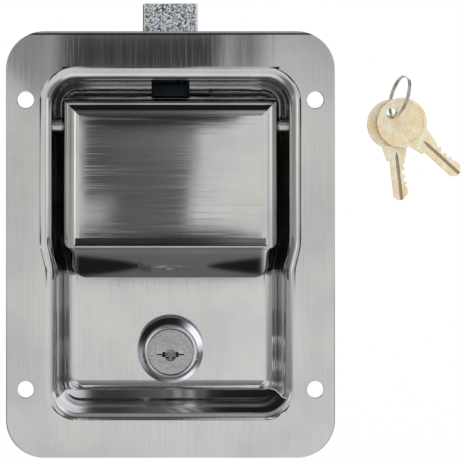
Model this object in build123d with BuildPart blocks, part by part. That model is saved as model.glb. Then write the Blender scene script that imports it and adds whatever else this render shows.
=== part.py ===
"""Flush-mounted paddle latch with a key lock, in millimetres.

A drawn steel pan drops into a cut-out in a panel and is fixed through its flange. A pressed paddle
hangs in the pan on a hinge pin. The arm behind the paddle reaches through a slot in the pan and
presses a sprung slide down, which draws the slam bolt in. A cam lock below the paddle turns its cam
up under the slide. Two keys on a split ring lie beside the latch.

Frame: +X to the right, +Z up, +Y into the panel. The origin is the centre of the flange's back
face, which seats on the panel.
"""

from build123d import *
from math import acos, atan2, cos, pi, radians, sin, sqrt, tan
import os

# ---------------------------------------------------------------- sizes shared by several pieces
sheet = 1.2  # stainless sheet of the pan and the paddle
running_gap = 0.08  # radial, between the hinge pin and what turns on it
seat_gap = 0.05  # radial or end play between pieces that stay together
sliding_gap = 0.4  # between the slide or bolt and its guides

# ---------------------------------------------------------------- pan
flange_side_width = 14.8  # from the mouth of the recess, beside the paddle, to the flange's edge
flange_height = 140.0
flange_corner_radius = 12.5
mounting_hole_edge = 6.5  # from the flange's side edge to the middle of a hole
mounting_hole_pitch_up = 95.0
mounting_hole_diameter = 5.4
mounting_hole_rollover = 0.3  # radius that the punch leaves round a hole's front edge
flange_edge_radius = 0.4  # of the flange's blanked front edge
recess_depth = 20.8  # from the seating plane to the front of the recess floor
recess_top = 54.6
recess_bottom = -54.1
recess_top_half_width = 39.2  # beside the paddle
recess_bottom_half_width = 37.3  # beside the lock
recess_top_corner_radius = 8.0
recess_bottom_corner_radius = 7.0
recess_waist_radius = 12.0  # of the two curves where the recess narrows
recess_waist_height = 8.0
recess_waist_drop = 3.5  # middle of the waist below the paddle's shoulder
wall_draft = 3.0  # degrees
rim_radius = 3.9  # front of the bend between flange and wall
floor_radius = 4.5  # front of the bend between wall and floor

# ---------------------------------------------------------------- paddle
paddle_side_gap = 2.9  # from the paddle to the mouth of the recess
paddle_top_gap = 6.0
paddle_height = 60.2
paddle_face_depth = 1.0  # face of the paddle behind the seating plane
paddle_corner_radius = 3.0  # of the upper corners, seen from the front
paddle_bend_radius = 6.2  # outside, of the bends along the top and both sides
paddle_swing = 40.0  # degrees of travel, which record.json repeats
lip_height = 11.2
lip_step = 3.4  # the lip is this much narrower on each side
lip_step_height = 3.0
lip_step_radius = 2.6
lip_corner_radius = 4.6
lip_slope = 47.0  # degrees back from the face
lip_bend_radius = 2.6  # outside, between the face and the lip
lip_edge_radius = 1.2  # of the pressed edge round the lip
cheek_depth = 12.8  # from the face to the back edge of the paddle's cheeks and lip
top_turn_in = 8.6  # from the face to the back edge of the top

# ---------------------------------------------------------------- hinge
pin_diameter = 4.0
pin_drop = 9.2  # of the pin below the top of the paddle
pin_depth = 8.0
pin_head_diameter = 7.0
pin_head_thickness = 1.4
push_nut_diameter = 9.0
push_nut_thickness = 1.0
pin_point = 1.2  # of the pin, beyond the push nut
paddle_spring_wire = 1.0
paddle_spring_radius = 3.3  # to the middle of the wire
paddle_spring_pitch = 1.15
paddle_spring_turns = 5
floor_leg_angle = -50.0  # degrees up from +Y
paddle_leg_angle = -100.0

# ---------------------------------------------------------------- arm behind the paddle
arm_width = 12.0
arm_reach = 18.0  # from the pin back to the middle of the nose
arm_rise = 9.1  # from the pin up to the middle of the nose
arm_hub_radius = 4.2
arm_tip_radius = 1.0  # of the tapered bar, inside the nose
nose_radius = 2.0
arm_pad_thickness = 2.2
arm_pad_drop = 14.0  # below the pin
arm_slot_gap = 0.5  # between the arm and each side of the slot in the pan

# ---------------------------------------------------------------- bolt and slide
bolt_width = 19.0
bolt_height = 17.0
bolt_tip_thickness = 2.2
bolt_bevel_height = 8.0
bolt_corner_radius = 0.8
slide_thickness = 2.4
slide_nose_gap = 0.4  # between the nose's furthest reach and the slide
slide_lap = 7.0  # how far the slide runs up behind the bolt
shelf_gap = 0.1  # under the nose at rest
shelf_reach = 0.8  # of the shelf, forward of the middle of the nose
slam_gap = 1.0  # left over the nose when the bolt is pushed in by hand
slide_window_width = 9.8
slide_window_bottom = 2.0
slide_rail = 4.0  # of the slide, left under its window
slide_foot_width = 12.0
slide_foot_length = 4.5
slide_rivet_diameter = 3.0
slide_rivet_pitch = 10.0
bolt_spring_wire = 1.0
bolt_spring_radius = 3.0
bolt_spring_turns = 11

# ---------------------------------------------------------------- bracket that guides the slide
bracket_sheet = 1.2
bracket_bottom = 4.0
bracket_lap = 1.8  # of the bracket over the bottom of the bolt
bracket_ear_width = 8.0
bracket_ear_top = 46.0
bracket_lip_width = 3.5
bracket_lip_gap = 2.4  # above the top of the pan
bracket_bend_radius = 1.0  # inside
spring_tab_height = 4.0  # above the bottom of the bracket
spring_tab_width = 8.6
guide_tab_reach = 3.0
guide_tab_height = 6.0
bracket_rivet_diameter = 3.2
rivet_head_diameter = 6.0
rivet_head_thickness = 1.1
rivet_dome_radius = 0.75  # of the rounded edge of a rivet's head
rivet_inset = 7.0  # of the rivets from the ends of an ear

# ---------------------------------------------------------------- cam lock
lock_height = -36.6
lock_head_diameter = 22.4
lock_face_diameter = 18.4
lock_head_height = 8.0
lock_head_rim = 2.4  # straight part of the head, next to the pan
lock_barrel_diameter = 18.9
lock_barrel_flats = 16.0
lock_barrel_length = 9.2  # behind the front of the recess floor
lock_hole_gap = 0.1
plug_face_diameter = 15.5
plug_face_thickness = 2.5
plug_body_diameter = 12.4
plug_gap = 0.15
plug_sink = 0.2  # of the plug's face behind the face of the head
plug_edge_radius = 0.25  # of the rounded edges on both sides of the gap
plug_tail_width = 6.5
keyway_drop = 0.9  # of the keyway below the middle of the plug
keyway_width = 5.6
keyway_height = 1.75
keyway_slit_width = 9.2
keyway_slit_height = 0.45
keyway_slit_depth = 0.7
keyway_cone_drop = 0.35  # of the cone below the middle of the keyway
keyway_cone_diameter = 4.0
keyway_cone_angle = 45.0  # of its side to the lock's axis
keyway_depth = 12.5
plug_tail_round = 8.2  # diameter over the rounded corners of the plug's square tail
lock_head_edge_radius = 1.6
wafer_count = 5
wafer_thickness = 0.9
wafer_pitch = 1.9
wafer_width = 7.2
wafer_window_width = 5.2
lock_washer_thickness = 0.8
lock_washer_diameter = 25.0
lock_nut_flats = 24.0
lock_nut_thickness = 4.0
stop_washer_thickness = 0.8
stop_washer_diameter = 16.4
stop_lug_reach = 2.0
stop_lug_width = 4.0
cam_thickness = 2.0
cam_length = 15.7
cam_hub_diameter = 14.0
cam_width = 9.0
cam_tip_radius = 2.7
cam_screw_diameter = 3.4
cam_screw_length = 5.0
cam_screw_head_diameter = 7.2
cam_screw_head_height = 2.3
cam_screw_dome_radius = 1.4
cam_screw_cross = 4.0  # length of each arm of its cross slot
cam_screw_cross_width = 1.0
cam_screw_cross_depth = 1.4
spring_washer_thickness = 0.7
spring_washer_diameter = 7.8

# ---------------------------------------------------------------- keys and their ring
key_thickness = 1.6
key_gap = 0.1  # between the two keys
key_bow_diameter = 17.4
key_hole_diameter = 3.8
key_hole_offset = 4.85  # from the middle of the bow
key_shoulder = 12.7  # from the middle of the bow, as the tip
key_tip = 26.8
key_neck_width = 8.8  # where the neck leaves the bow
key_shoulder_width = 6.4
key_blade_back = 2.2  # from the key's axis to its straight edge
key_blade_front = 2.8  # from the key's axis to its cut edge
key_tip_width = 1.6
key_cuts = ((2.2, 0.7), (4.6, 1.3), (7.0, 1.0), (9.2, 0.5))  # distance from the shoulder, depth
key_cut_flat = 0.7
key_cut_slope = 0.8  # run of a cut's side for each millimetre of depth
key_groove_width = 1.1
key_groove_depth = 0.45
key_groove_offset = 0.3  # from the key's axis
key_groove_run = 1.0  # of the groove's pointed start, before the shoulder
key_bow_rim = 1.1  # raised rim round the bow's coined face
key_bow_coining = 0.2
front_key_direction = -42.4  # degrees up from +X, from the hole to the tip
back_key_direction = -83.6
back_key_depth = 33.9  # front of the back key behind the seating plane
ring_hang = 0.5  # of the ring's wire below the middle of a key's hole
ring_centre = (79.8, 30.3, 50.7)
ring_radius = 7.2  # to the middle of the band
ring_wire = 0.62
ring_pitch = 0.66
ring_turns = 1.9
ring_lean = 14.4  # degrees from upright, towards +X at the top
ring_twist = 14.5  # degrees from edge-on, its near side towards +X

# ---------------------------------------------------------------- places that follow from the sizes
floor_front = recess_depth
floor_back = recess_depth + sheet
flange_width = 2 * (recess_top_half_width + flange_side_width)
mounting_hole_pitch = flange_width - 2 * mounting_hole_edge
pin_radius = pin_diameter / 2
paddle_half_width = recess_top_half_width - paddle_side_gap
paddle_top = recess_top - paddle_top_gap
paddle_bottom = paddle_top - paddle_height
paddle_shoulder = paddle_bottom + lip_height
paddle_inner_face = paddle_face_depth + sheet
pin_height = paddle_top - pin_drop

arm_half_width = arm_width / 2
arm_length = sqrt(arm_reach**2 + arm_rise**2)
swing = radians(paddle_swing)
lowest_arm_angle = atan2(arm_rise, arm_reach) - swing
nose_height = pin_height + arm_rise - nose_radius
nose_furthest = pin_depth + arm_length + nose_radius
bolt_travel = arm_reach * sin(swing) + arm_rise * (1 - cos(swing))

slide_front = nose_furthest + slide_nose_gap
slide_back = slide_front + slide_thickness
shelf_front = pin_depth + arm_reach - shelf_reach
shelf_top = nose_height - shelf_gap
shelf_bottom = shelf_top - slide_thickness
bolt_front = floor_back + sliding_gap
bolt_bottom = nose_height + 2 * nose_radius + bolt_travel + slam_gap
bolt_top = bolt_bottom + bolt_height
bolt_rivet_height = bolt_bottom + slide_lap / 2
slide_top = bolt_bottom + slide_lap
slide_bottom = slide_window_bottom - slide_rail - slide_foot_length

bracket_top = bolt_bottom + bracket_lap
guide_half_width = bolt_width / 2 + sliding_gap
bracket_front = floor_back + seat_gap
bracket_inner = slide_back + sliding_gap
bracket_back = bracket_inner + bracket_sheet
bracket_half_width = guide_half_width + bracket_sheet
pan_top = recess_top + sheet
spring_outer_radius = bolt_spring_radius + bolt_spring_wire / 2
spring_depth = bracket_inner - sliding_gap - spring_outer_radius
spring_tab_top = bracket_bottom + spring_tab_height + bracket_sheet
spring_tab_front = spring_depth - spring_outer_radius - sliding_gap
rivet_offset = bracket_half_width + bracket_ear_width / 2
rivet_heights = (bracket_bottom + rivet_inset, bracket_ear_top - rivet_inset)
rivet_spots = [(x, z) for x in (-rivet_offset, rivet_offset) for z in rivet_heights]

keyway_middle = lock_height - keyway_drop
lock_face = floor_front - lock_head_height
barrel_front = floor_front - seat_gap
barrel_end = floor_front + lock_barrel_length
stop_washer_front = barrel_end + seat_gap
cam_front = stop_washer_front + stop_washer_thickness + seat_gap
cam_back = cam_front + cam_thickness
spring_washer_front = cam_back + seat_gap
screw_seat = spring_washer_front + spring_washer_thickness + seat_gap

BACK = (0, 1, 0)  # the way into the panel


def facing(depth):
    """A plane parallel to the panel, so far behind the seating plane, seen from the front."""
    return Plane.XZ.offset(-depth)


def side_on(x):
    """A plane square to X, with the depth as its first coordinate and the height as its second."""
    return Plane.YZ.offset(x)


def wall_inset(depth):
    """How far the draft has drawn the recess wall in, so far behind the seating plane."""
    return (depth + sheet) * tan(radians(wall_draft))


# ---------------------------------------------------------------- pan
def recess_mouth():
    """Closed outline of the recess where its walls leave the flange, narrower below the waist."""
    waist_top = paddle_shoulder + recess_waist_height / 2 - recess_waist_drop
    waist_bottom = waist_top - recess_waist_height
    FilletPolyline(
        (recess_top_half_width, recess_top),
        (recess_top_half_width, waist_top),
        (recess_bottom_half_width, waist_bottom),
        (recess_bottom_half_width, recess_bottom),
        (-recess_bottom_half_width, recess_bottom),
        (-recess_bottom_half_width, waist_bottom),
        (-recess_top_half_width, waist_top),
        (-recess_top_half_width, recess_top),
        radius=[
            recess_top_corner_radius,
            recess_waist_radius,
            recess_waist_radius,
            recess_bottom_corner_radius,
            recess_bottom_corner_radius,
            recess_waist_radius,
            recess_waist_radius,
            recess_top_corner_radius,
        ],
        close=True,
    )


def barrel_outline(gap, depth):
    """The lock barrel's round outline with its two flats, wider by a gap, at a depth."""
    with BuildSketch(facing(depth)) as outline:
        with Locations((0, lock_height)):
            Circle(lock_barrel_diameter / 2 + gap)
            Rectangle(lock_barrel_diameter + 2 * gap, lock_barrel_flats + 2 * gap, mode=Mode.INTERSECT)
    return outline.sketch


arm_half_height_at_floor = arm_hub_radius + (arm_tip_radius - arm_hub_radius) * (
    (floor_back - pin_depth) / arm_length
)
slot_half_width = arm_half_width + arm_slot_gap
slot_top = recess_top - wall_inset(floor_front) - seat_gap
slot_bottom = (
    pin_height
    + (floor_back - pin_depth) * tan(lowest_arm_angle)
    - arm_half_height_at_floor / cos(lowest_arm_angle)
    - arm_slot_gap
)

with BuildSketch(facing(-sheet)) as recess_sketch:
    with BuildLine():
        recess_mouth()
    make_face()

with BuildSketch(facing(-sheet)) as recess_outside:
    add(recess_sketch.sketch)
    offset(amount=sheet)

with BuildPart() as hollow:
    extrude(recess_sketch.sketch, amount=floor_front + sheet, dir=BACK, taper=wall_draft)
    fillet(hollow.faces().sort_by(Axis.Y)[-1].edges(), floor_radius)

with BuildPart() as pan:
    with BuildSketch(facing(-sheet)):
        RectangleRounded(flange_width, flange_height, flange_corner_radius)
    extrude(amount=sheet, dir=BACK)
    extrude(recess_outside.sketch, amount=floor_back + sheet, dir=BACK, taper=wall_draft)
    fillet(pan.faces().sort_by(Axis.Y)[-1].edges(), floor_radius + sheet)
    flange_back = pan.faces().filter_by(Plane.XZ).sort_by(Axis.Y)[1]
    fillet(flange_back.inner_wires()[0].edges(), rim_radius - sheet)
    add(hollow.part, mode=Mode.SUBTRACT)
    flange_front = pan.faces().sort_by(Axis.Y)[0]
    fillet(flange_front.inner_wires()[0].edges(), rim_radius)
    fillet(pan.faces().sort_by(Axis.Y)[0].outer_wire().edges(), flange_edge_radius)
    with BuildSketch(facing(-sheet)):
        with GridLocations(mounting_hole_pitch, mounting_hole_pitch_up, 2, 2):
            Circle(mounting_hole_diameter / 2)
    extrude(amount=sheet, dir=BACK, mode=Mode.SUBTRACT)
    hole_edges = pan.faces().sort_by(Axis.Y)[0].edges().filter_by(GeomType.CIRCLE)
    fillet(
        [edge for edge in hole_edges if abs(edge.radius - mounting_hole_diameter / 2) < seat_gap],
        mounting_hole_rollover,
    )
    # slot for the arm, up to the top wall
    with BuildSketch(facing(floor_front - floor_radius)):
        with Locations((0, (slot_top + slot_bottom) / 2)):
            Rectangle(2 * slot_half_width, slot_top - slot_bottom)
    extrude(amount=floor_radius + sheet, dir=BACK, mode=Mode.SUBTRACT)
    # hole with two flats for the lock, and holes for the bracket's rivets
    extrude(barrel_outline(lock_hole_gap, floor_front), amount=sheet, dir=BACK, mode=Mode.SUBTRACT)
    with BuildSketch(facing(floor_front)):
        with Locations(rivet_spots):
            Circle(bracket_rivet_diameter / 2 + seat_gap)
    extrude(amount=sheet, dir=BACK, mode=Mode.SUBTRACT)
    # holes for the hinge pin in both side walls
    with BuildSketch(side_on(-recess_top_half_width - 2 * sheet)):
        with Locations((pin_depth, pin_height)):
            Circle(pin_radius + seat_gap)
    extrude(amount=2 * recess_top_half_width + 4 * sheet, mode=Mode.SUBTRACT)


# ---------------------------------------------------------------- paddle
def paddle_form(inset, back):
    """The pressed paddle's outline form, drawn in by an inset and reaching back to a depth."""
    half_width = paddle_half_width - inset
    lip_half_width = half_width - lip_step
    step_top = paddle_shoulder + lip_step_height / 2
    step_bottom = paddle_shoulder - lip_step_height / 2
    face = paddle_face_depth + inset
    top = paddle_top - inset
    bottom = paddle_bottom + inset
    bend = paddle_bend_radius - inset
    # the face and the lip's slope, both moved in square to themselves, meet here
    lip_start = paddle_shoulder + inset * tan(radians(lip_slope / 2))
    lip_foot = face + (lip_start - bottom) * tan(radians(lip_slope))
    with BuildPart() as form:
        with BuildSketch(facing(paddle_face_depth)):
            with BuildLine():
                FilletPolyline(
                    (half_width, top),
                    (half_width, step_top),
                    (lip_half_width, step_bottom),
                    (lip_half_width, bottom),
                    (-lip_half_width, bottom),
                    (-lip_half_width, step_bottom),
                    (-half_width, step_top),
                    (-half_width, top),
                    radius=[
                        paddle_corner_radius - inset,
                        lip_step_radius - inset,
                        lip_step_radius / 2 + inset,
                        lip_corner_radius - inset,
                        lip_corner_radius - inset,
                        lip_step_radius / 2 + inset,
                        lip_step_radius - inset,
                        paddle_corner_radius - inset,
                    ],
                    close=True,
                )
            make_face()
        extrude(amount=back - paddle_face_depth, dir=BACK)
        # seen from the side: the bend along the top, the face, and the lip
        with BuildSketch(side_on(-paddle_half_width)):
            with BuildLine():
                FilletPolyline(
                    (back, top),
                    (face, top),
                    (face, lip_start),
                    (lip_foot, bottom),
                    radius=[bend, lip_bend_radius - inset],
                )
                Polyline((lip_foot, bottom), (back, bottom), (back, top))
            make_face()
        extrude(amount=2 * paddle_half_width, mode=Mode.INTERSECT)
        # seen from above: the bends along both sides
        with BuildSketch(Plane.XY.offset(paddle_bottom)):
            with BuildLine():
                FilletPolyline(
                    (-half_width, back),
                    (-half_width, face),
                    (half_width, face),
                    (half_width, back),
                    radius=bend,
                )
                Line((half_width, back), (-half_width, back))
            make_face()
        extrude(amount=paddle_height, mode=Mode.INTERSECT)
    return form.part


def lip_rim(form):
    """The edges round the sides and foot of the lip's slope."""
    slope = form.faces().filter_by(lambda f: abs(f.normal_at().Z + sin(radians(lip_slope))) < 0.01)
    return [edge for edge in slope.edges() if edge.center().Z < paddle_shoulder - lip_bend_radius]


cheek_back = paddle_face_depth + cheek_depth
paddle_hollow = paddle_form(sheet, cheek_back + sheet)

with BuildPart() as paddle:
    add(paddle_form(0, cheek_back))
    fillet(lip_rim(paddle), lip_edge_radius)
    add(paddle_hollow, mode=Mode.SUBTRACT)
    # the edge turns in less along the top than at the cheeks and the lip
    with BuildSketch(facing(paddle_face_depth + top_turn_in)):
        with Locations((0, paddle_top)):
            Rectangle(2 * (paddle_half_width - paddle_bend_radius), 2 * paddle_bend_radius)
    extrude(amount=cheek_depth, dir=BACK, mode=Mode.SUBTRACT)
    with BuildSketch(side_on(-paddle_half_width)):
        with Locations((pin_depth, pin_height)):
            Circle(pin_radius + running_gap)
    extrude(amount=2 * paddle_half_width, mode=Mode.SUBTRACT)


# ---------------------------------------------------------------- arm behind the paddle
arm_pad_front = paddle_inner_face + seat_gap
arm_pad_top = paddle_top - paddle_bend_radius - seat_gap
arm_pad_bottom = pin_height - arm_pad_drop
with BuildPart() as paddle_arm:
    with BuildSketch(side_on(-arm_half_width)) as lever:
        with BuildLine():
            CenterArc((pin_depth, pin_height), arm_hub_radius, 0, 360)
            CenterArc((pin_depth + arm_reach, pin_height + arm_rise), arm_tip_radius, 0, 360)
        make_hull()
        with Locations((pin_depth + arm_reach, pin_height + arm_rise)):
            Circle(nose_radius)
        with Locations((arm_pad_front, arm_pad_bottom)):
            Rectangle(
                arm_pad_thickness,
                arm_pad_top - arm_pad_bottom,
                align=(Align.MIN, Align.MIN),
            )
        with Locations((pin_depth, pin_height)):
            Circle(pin_radius + running_gap, mode=Mode.SUBTRACT)
    extrude(amount=arm_width)


# ---------------------------------------------------------------- hinge pin and push nut
def wall_outside(depth, reach):
    """Where a flat disc of a radius meets the leaning outside of the recess's side wall."""
    return recess_top_half_width + sheet - wall_inset(depth) + reach * tan(radians(wall_draft))


pin_head_seat = wall_outside(pin_depth, pin_head_diameter / 2) + seat_gap
push_nut_seat = wall_outside(pin_depth, push_nut_diameter / 2) + seat_gap
pin_end = push_nut_seat + push_nut_thickness + pin_point

with BuildPart() as hinge_pin:
    with BuildSketch(side_on(-pin_end)):
        with Locations((pin_depth, pin_height)):
            Circle(pin_radius)
    extrude(amount=pin_end + pin_head_seat)
    with BuildSketch(side_on(pin_head_seat)):
        with Locations((pin_depth, pin_height)):
            Circle(pin_head_diameter / 2)
    extrude(amount=pin_head_thickness)
    chamfer(hinge_pin.faces().sort_by(Axis.X)[0].edges(), pin_point / 2)
    fillet(hinge_pin.faces().sort_by(Axis.X)[-1].edges(), pin_head_thickness / 2)

with BuildPart() as push_nut:
    with BuildSketch(side_on(-push_nut_seat)):
        with Locations((pin_depth, pin_height)):
            Circle(push_nut_diameter / 2)
            Circle(pin_radius + seat_gap, mode=Mode.SUBTRACT)
    extrude(amount=-push_nut_thickness)
    chamfer(push_nut.faces().sort_by(Axis.X)[0].outer_wire().edges(), push_nut_thickness / 2)


# ---------------------------------------------------------------- springs
def coil_spring(plane, coil_radius, wire, pitch, turns, first_leg=0, last_leg=0):
    """A left-handed coil that starts on the plane's x direction, with straight legs along its ends."""
    drop = pitch / (2 * pi * coil_radius)
    level = 1 / sqrt(1 + drop**2)
    end_angle = 2 * pi * turns
    end = Vector(coil_radius * cos(end_angle), -coil_radius * sin(end_angle), pitch * turns)
    last_way = Vector(-sin(end_angle) * level, -cos(end_angle) * level, drop * level)
    with BuildPart() as spring:
        with BuildLine() as path:
            if first_leg:
                Line((coil_radius, first_leg * level, -first_leg * drop * level), (coil_radius, 0, 0))
            Helix(pitch, pitch * turns, coil_radius, lefthand=True)
            if last_leg:
                Line(end, end + last_way * last_leg)
        with BuildSketch(Plane(path.line ^ 0)):
            Circle(wire / 2)
        sweep(path=path.line, is_frenet=True)
    return spring.part.moved(plane.location)


paddle_leg = radians(paddle_leg_angle)
floor_leg = radians(floor_leg_angle)
coil_start_angle = paddle_leg_angle - 90
paddle_leg_depth = arm_pad_front + paddle_spring_wire / 2
floor_leg_depth = floor_front - seat_gap - paddle_spring_wire / 2
paddle_leg_length = (
    pin_depth + paddle_spring_radius * cos(radians(coil_start_angle)) - paddle_leg_depth
) / -cos(paddle_leg)
floor_leg_length = (
    floor_leg_depth - pin_depth - paddle_spring_radius * cos(floor_leg + pi / 2)
) / cos(floor_leg)
paddle_leg_drift = paddle_leg_length * paddle_spring_pitch / (2 * pi * paddle_spring_radius)
paddle_spring_start = arm_half_width + paddle_spring_wire + paddle_leg_drift
coil_turns = paddle_spring_turns + ((coil_start_angle - floor_leg_angle - 90) % 360) / 360
paddle_spring_part = coil_spring(
    Plane(
        origin=(paddle_spring_start, pin_depth, pin_height),
        x_dir=(0, cos(radians(coil_start_angle)), sin(radians(coil_start_angle))),
        z_dir=(1, 0, 0),
    ),
    paddle_spring_radius,
    paddle_spring_wire,
    paddle_spring_pitch,
    coil_turns,
    paddle_leg_length,
    floor_leg_length,
)
with BuildPart() as paddle_spring:
    add(paddle_spring_part)

bolt_spring_bottom = spring_tab_top + bolt_spring_wire / 2 + seat_gap
bolt_spring_top = shelf_bottom - bolt_spring_wire / 2 - seat_gap
bolt_spring_part = coil_spring(
    Plane(origin=(0, spring_depth, bolt_spring_bottom), x_dir=(0, -1, 0), z_dir=(0, 0, 1)),
    bolt_spring_radius,
    bolt_spring_wire,
    (bolt_spring_top - bolt_spring_bottom) / bolt_spring_turns,
    bolt_spring_turns,
)
with BuildPart() as bolt_spring:
    add(bolt_spring_part)


# ---------------------------------------------------------------- bolt and slide
with BuildPart() as bolt:
    with BuildSketch(side_on(-bolt_width / 2)):
        with BuildLine():
            Polyline(
                (bolt_front, bolt_bottom),
                (bolt_front, bolt_top),
                (bolt_front + bolt_tip_thickness, bolt_top),
                (slide_back, bolt_top - bolt_bevel_height),
                (slide_back, slide_top + seat_gap),
                (slide_front - seat_gap, slide_top + seat_gap),
                (slide_front - seat_gap, bolt_bottom),
                close=True,
            )
        make_face()
    extrude(amount=bolt_width)
    upright = bolt.edges().filter_by(Axis.Z).group_by(Axis.Y)[0]
    fillet(upright, bolt_corner_radius)
    fillet(bolt.edges().group_by(Axis.Z)[-1].filter_by(Axis.Y), bolt_corner_radius)
    with BuildSketch(facing(bolt_front)):
        with Locations([(x, bolt_rivet_height) for x in (-slide_rivet_pitch / 2, slide_rivet_pitch / 2)]):
            Circle(slide_rivet_diameter / 2 + seat_gap)
    extrude(amount=slide_back - bolt_front, dir=BACK, mode=Mode.SUBTRACT)

with BuildPart() as bolt_slide:
    with BuildSketch(facing(slide_front)):
        with Locations((0, (slide_top + slide_window_bottom - slide_rail) / 2)):
            Rectangle(bolt_width, slide_top - slide_window_bottom + slide_rail)
        with Locations((0, slide_bottom)):
            Rectangle(slide_foot_width, slide_foot_length, align=(Align.CENTER, Align.MIN))
        with Locations((0, slide_window_bottom)):
            Rectangle(
                slide_window_width,
                shelf_bottom - slide_window_bottom,
                align=(Align.CENTER, Align.MIN),
                mode=Mode.SUBTRACT,
            )
    extrude(amount=slide_thickness, dir=BACK)
    # shelf bent forward under the arm's nose
    with BuildSketch(Plane.XY.offset(shelf_bottom)):
        with Locations((0, shelf_front)):
            Rectangle(arm_width, slide_front - shelf_front, align=(Align.CENTER, Align.MIN))
    extrude(amount=slide_thickness)
    with BuildSketch(facing(slide_front)):
        with Locations([(x, bolt_rivet_height) for x in (-slide_rivet_pitch / 2, slide_rivet_pitch / 2)]):
            Circle(slide_rivet_diameter / 2 + seat_gap)
    extrude(amount=slide_thickness, dir=BACK, mode=Mode.SUBTRACT)

with BuildPart() as slide_rivets:
    with BuildSketch(facing(bolt_front + seat_gap)):
        with Locations([(x, bolt_rivet_height) for x in (-slide_rivet_pitch / 2, slide_rivet_pitch / 2)]):
            Circle(slide_rivet_diameter / 2)
    extrude(amount=slide_back - bolt_front - 2 * seat_gap, dir=BACK)


# ---------------------------------------------------------------- bracket that guides the slide
def bracket_channel(bottom, top, front, flange_reach):
    """A length of the bracket's bent section. Its front edges turn out, or in for a negative reach."""
    with BuildPart() as channel:
        with BuildSketch(Plane.XY.offset(bottom)):
            with BuildLine():
                FilletPolyline(
                    (-guide_half_width - flange_reach, front),
                    (-guide_half_width, front),
                    (-guide_half_width, bracket_inner),
                    (guide_half_width, bracket_inner),
                    (guide_half_width, front),
                    (guide_half_width + flange_reach, front),
                    radius=[
                        bracket_bend_radius + (bracket_sheet if flange_reach > 0 else 0),
                        bracket_bend_radius,
                        bracket_bend_radius,
                        bracket_bend_radius + (bracket_sheet if flange_reach > 0 else 0),
                    ],
                )
                offset(amount=bracket_sheet, side=Side.LEFT)
            make_face()
        extrude(amount=top - bottom)
    return channel.part


lip_bottom = pan_top + bracket_lip_gap
ear_reach = bracket_sheet + bracket_ear_width
ear_section = bracket_channel(bracket_bottom, bracket_ear_top, bracket_front, ear_reach)
lip_section = bracket_channel(lip_bottom, bracket_top, bolt_front - sliding_gap, -bracket_lip_width)

with BuildPart() as bolt_bracket:
    add(ear_section)
    add(lip_section)
    with BuildSketch(Plane.XY.offset(bracket_ear_top)):
        with Locations((0, bracket_back)):
            Rectangle(2 * bracket_half_width, bracket_back - bracket_front, align=(Align.CENTER, Align.MAX))
        with Locations((0, bracket_inner)):
            Rectangle(
                2 * guide_half_width,
                bracket_inner,
                align=(Align.CENTER, Align.MAX),
                mode=Mode.SUBTRACT,
            )
    extrude(amount=lip_bottom - bracket_ear_top)
    # tab bent forward under the spring, and the window that it leaves
    with BuildSketch(facing(bracket_inner)):
        with Locations((0, spring_tab_top)):
            Rectangle(
                spring_tab_width,
                bracket_inner - spring_tab_front,
                align=(Align.CENTER, Align.MIN),
            )
    extrude(amount=bracket_sheet, dir=BACK, mode=Mode.SUBTRACT)
    with BuildSketch(Plane.XY.offset(spring_tab_top - bracket_sheet)):
        with Locations((0, spring_tab_front)):
            Rectangle(
                spring_tab_width,
                bracket_back - spring_tab_front,
                align=(Align.CENTER, Align.MIN),
            )
    extrude(amount=bracket_sheet)
    # lanced tabs that hold the slide back
    with BuildSketch(facing(slide_front - sliding_gap)):
        with Locations((0, spring_tab_top + guide_tab_height / 2)):
            with GridLocations(2 * guide_half_width - guide_tab_reach, 0, 2, 1):
                Rectangle(guide_tab_reach, guide_tab_height)
    extrude(amount=bracket_sheet, dir=(0, -1, 0))
    with BuildSketch(facing(bracket_front)):
        with Locations(rivet_spots):
            Circle(bracket_rivet_diameter / 2 + seat_gap)
    extrude(amount=bracket_sheet, dir=BACK, mode=Mode.SUBTRACT)

rivet_front = floor_front - seat_gap - rivet_head_thickness
rivet_length = 2 * rivet_head_thickness + 3 * seat_gap + sheet + bracket_sheet
with BuildPart() as bracket_rivets:
    with BuildSketch(facing(rivet_front)):
        with Locations(rivet_spots):
            Circle(rivet_head_diameter / 2)
    extrude(amount=rivet_head_thickness, dir=BACK)
    with BuildSketch(facing(rivet_front)):
        with Locations(rivet_spots):
            Circle(bracket_rivet_diameter / 2)
    extrude(amount=rivet_length, dir=BACK)
    with BuildSketch(facing(rivet_front + rivet_length - rivet_head_thickness)):
        with Locations(rivet_spots):
            Circle(rivet_head_diameter / 2)
    extrude(amount=rivet_head_thickness, dir=BACK)
    outer_faces = bracket_rivets.faces().filter_by(Plane.XZ).group_by(Axis.Y)
    fillet(outer_faces[0].edges(), rivet_dome_radius)
    outer_faces = bracket_rivets.faces().filter_by(Plane.XZ).group_by(Axis.Y)
    fillet(outer_faces[-1].edges(), rivet_dome_radius)


# ---------------------------------------------------------------- cam lock
def lock_disc(diameter, front, thickness):
    """A disc on the lock's axis."""
    with BuildPart() as disc:
        with BuildSketch(facing(front)):
            with Locations((0, lock_height)):
                Circle(diameter / 2)
        extrude(amount=thickness, dir=BACK)
    return disc.part


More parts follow.
